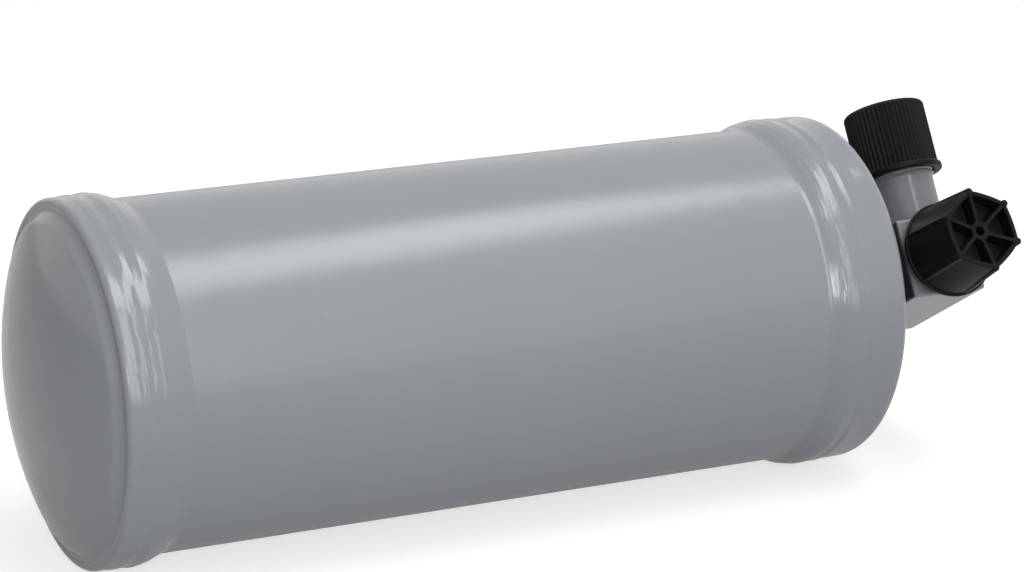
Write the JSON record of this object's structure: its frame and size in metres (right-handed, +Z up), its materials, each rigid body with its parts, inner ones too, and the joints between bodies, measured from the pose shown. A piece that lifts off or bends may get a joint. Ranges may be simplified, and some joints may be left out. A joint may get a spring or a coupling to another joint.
{
  "type": "filter drier",
  "caption": "Welded steel can with a drying bed inside and a head block whose two flare ports carry black screw caps.",
  "frame": {"origin": "on the can's axis, in the middle of the bare tube, where the clamp band goes", "axes": "+X along the can from the blind end to the head; +Z up when the can lies on its side; the outlet port leans 30 degrees from +Z towards +Y and the inlet port points to -Y, 30 degrees above level"},
  "size_m": [0.2718, 0.0946, 0.0957],
  "materials": {
    "can_paint": "semi-gloss grey paint, fine orange peel",
    "head_paint": "semi-gloss grey paint on machined steel",
    "cap_black": "black moulded polyethylene, satin",
    "star_black": "black moulded plastic, satin",
    "seal_rubber": "smooth rubber",
    "grommet_rubber": "smooth rubber",
    "zinc_steel": "plated sheet steel",
    "spring_steel": "drawn spring wire",
    "tube_metal": "drawn tube",
    "felt": "pressed fibre felt",
    "desiccant": "packed beads"
  },
  "bodies": {
    "can": {"can_tube": "can_paint", "blind_end_cap": "can_paint", "head_end_cap": "can_paint", "head_boss": "head_paint", "head_block": "head_paint", "outlet_port": "head_paint", "inlet_port": "head_paint", "pickup_tube": "tube_metal", "pickup_strainer": "zinc_steel", "support_ring": "zinc_steel", "lower_plate": "zinc_steel", "lower_grommet": "grommet_rubber", "lower_felt_pad": "felt", "desiccant_bed": "desiccant", "upper_felt_pad": "felt", "upper_plate": "zinc_steel", "upper_grommet": "grommet_rubber", "bed_spring": "spring_steel", "spring_seat": "zinc_steel", "retaining_ring": "spring_steel"},
    "ribbed_seal": {"ribbed_cap_liner": "seal_rubber"},
    "ribbed_cap": {"ribbed_cap": "cap_black"},
    "star_seal": {"star_cap_liner": "seal_rubber"},
    "star_cap": {"star_cap": "star_black"}
  },
  "joints": [
    {"name": "ribbed_cap_lift", "type": "slide", "parent": "can", "child": "ribbed_seal", "axis": [0, 0.5, 0.866], "range_m": [0, 0.01588]},
    {"name": "ribbed_cap_turn", "type": "hinge", "parent": "ribbed_seal", "child": "ribbed_cap", "pos_m": [0.14242, 0.01225, 0.03121], "axis": [0, 0.5, 0.866], "range_deg": [0, 3600]},
    {"name": "star_cap_lift", "type": "slide", "parent": "can", "child": "star_seal", "axis": [0, -0.866, 0.5], "range_m": [0, 0.0127]},
    {"name": "star_cap_turn", "type": "hinge", "parent": "star_seal", "child": "star_cap", "pos_m": [0.14032, -0.0236, 0.01362], "axis": [0, -0.866, 0.5], "range_deg": [0, 2880]}
  ],
  "couplings": [
    {"joint": "ribbed_cap_lift", "follows": "ribbed_cap_turn", "m_per_rad": 0.00025266},
    {"joint": "star_cap_lift", "follows": "star_cap_turn", "m_per_rad": 0.00025266}
  ]
}
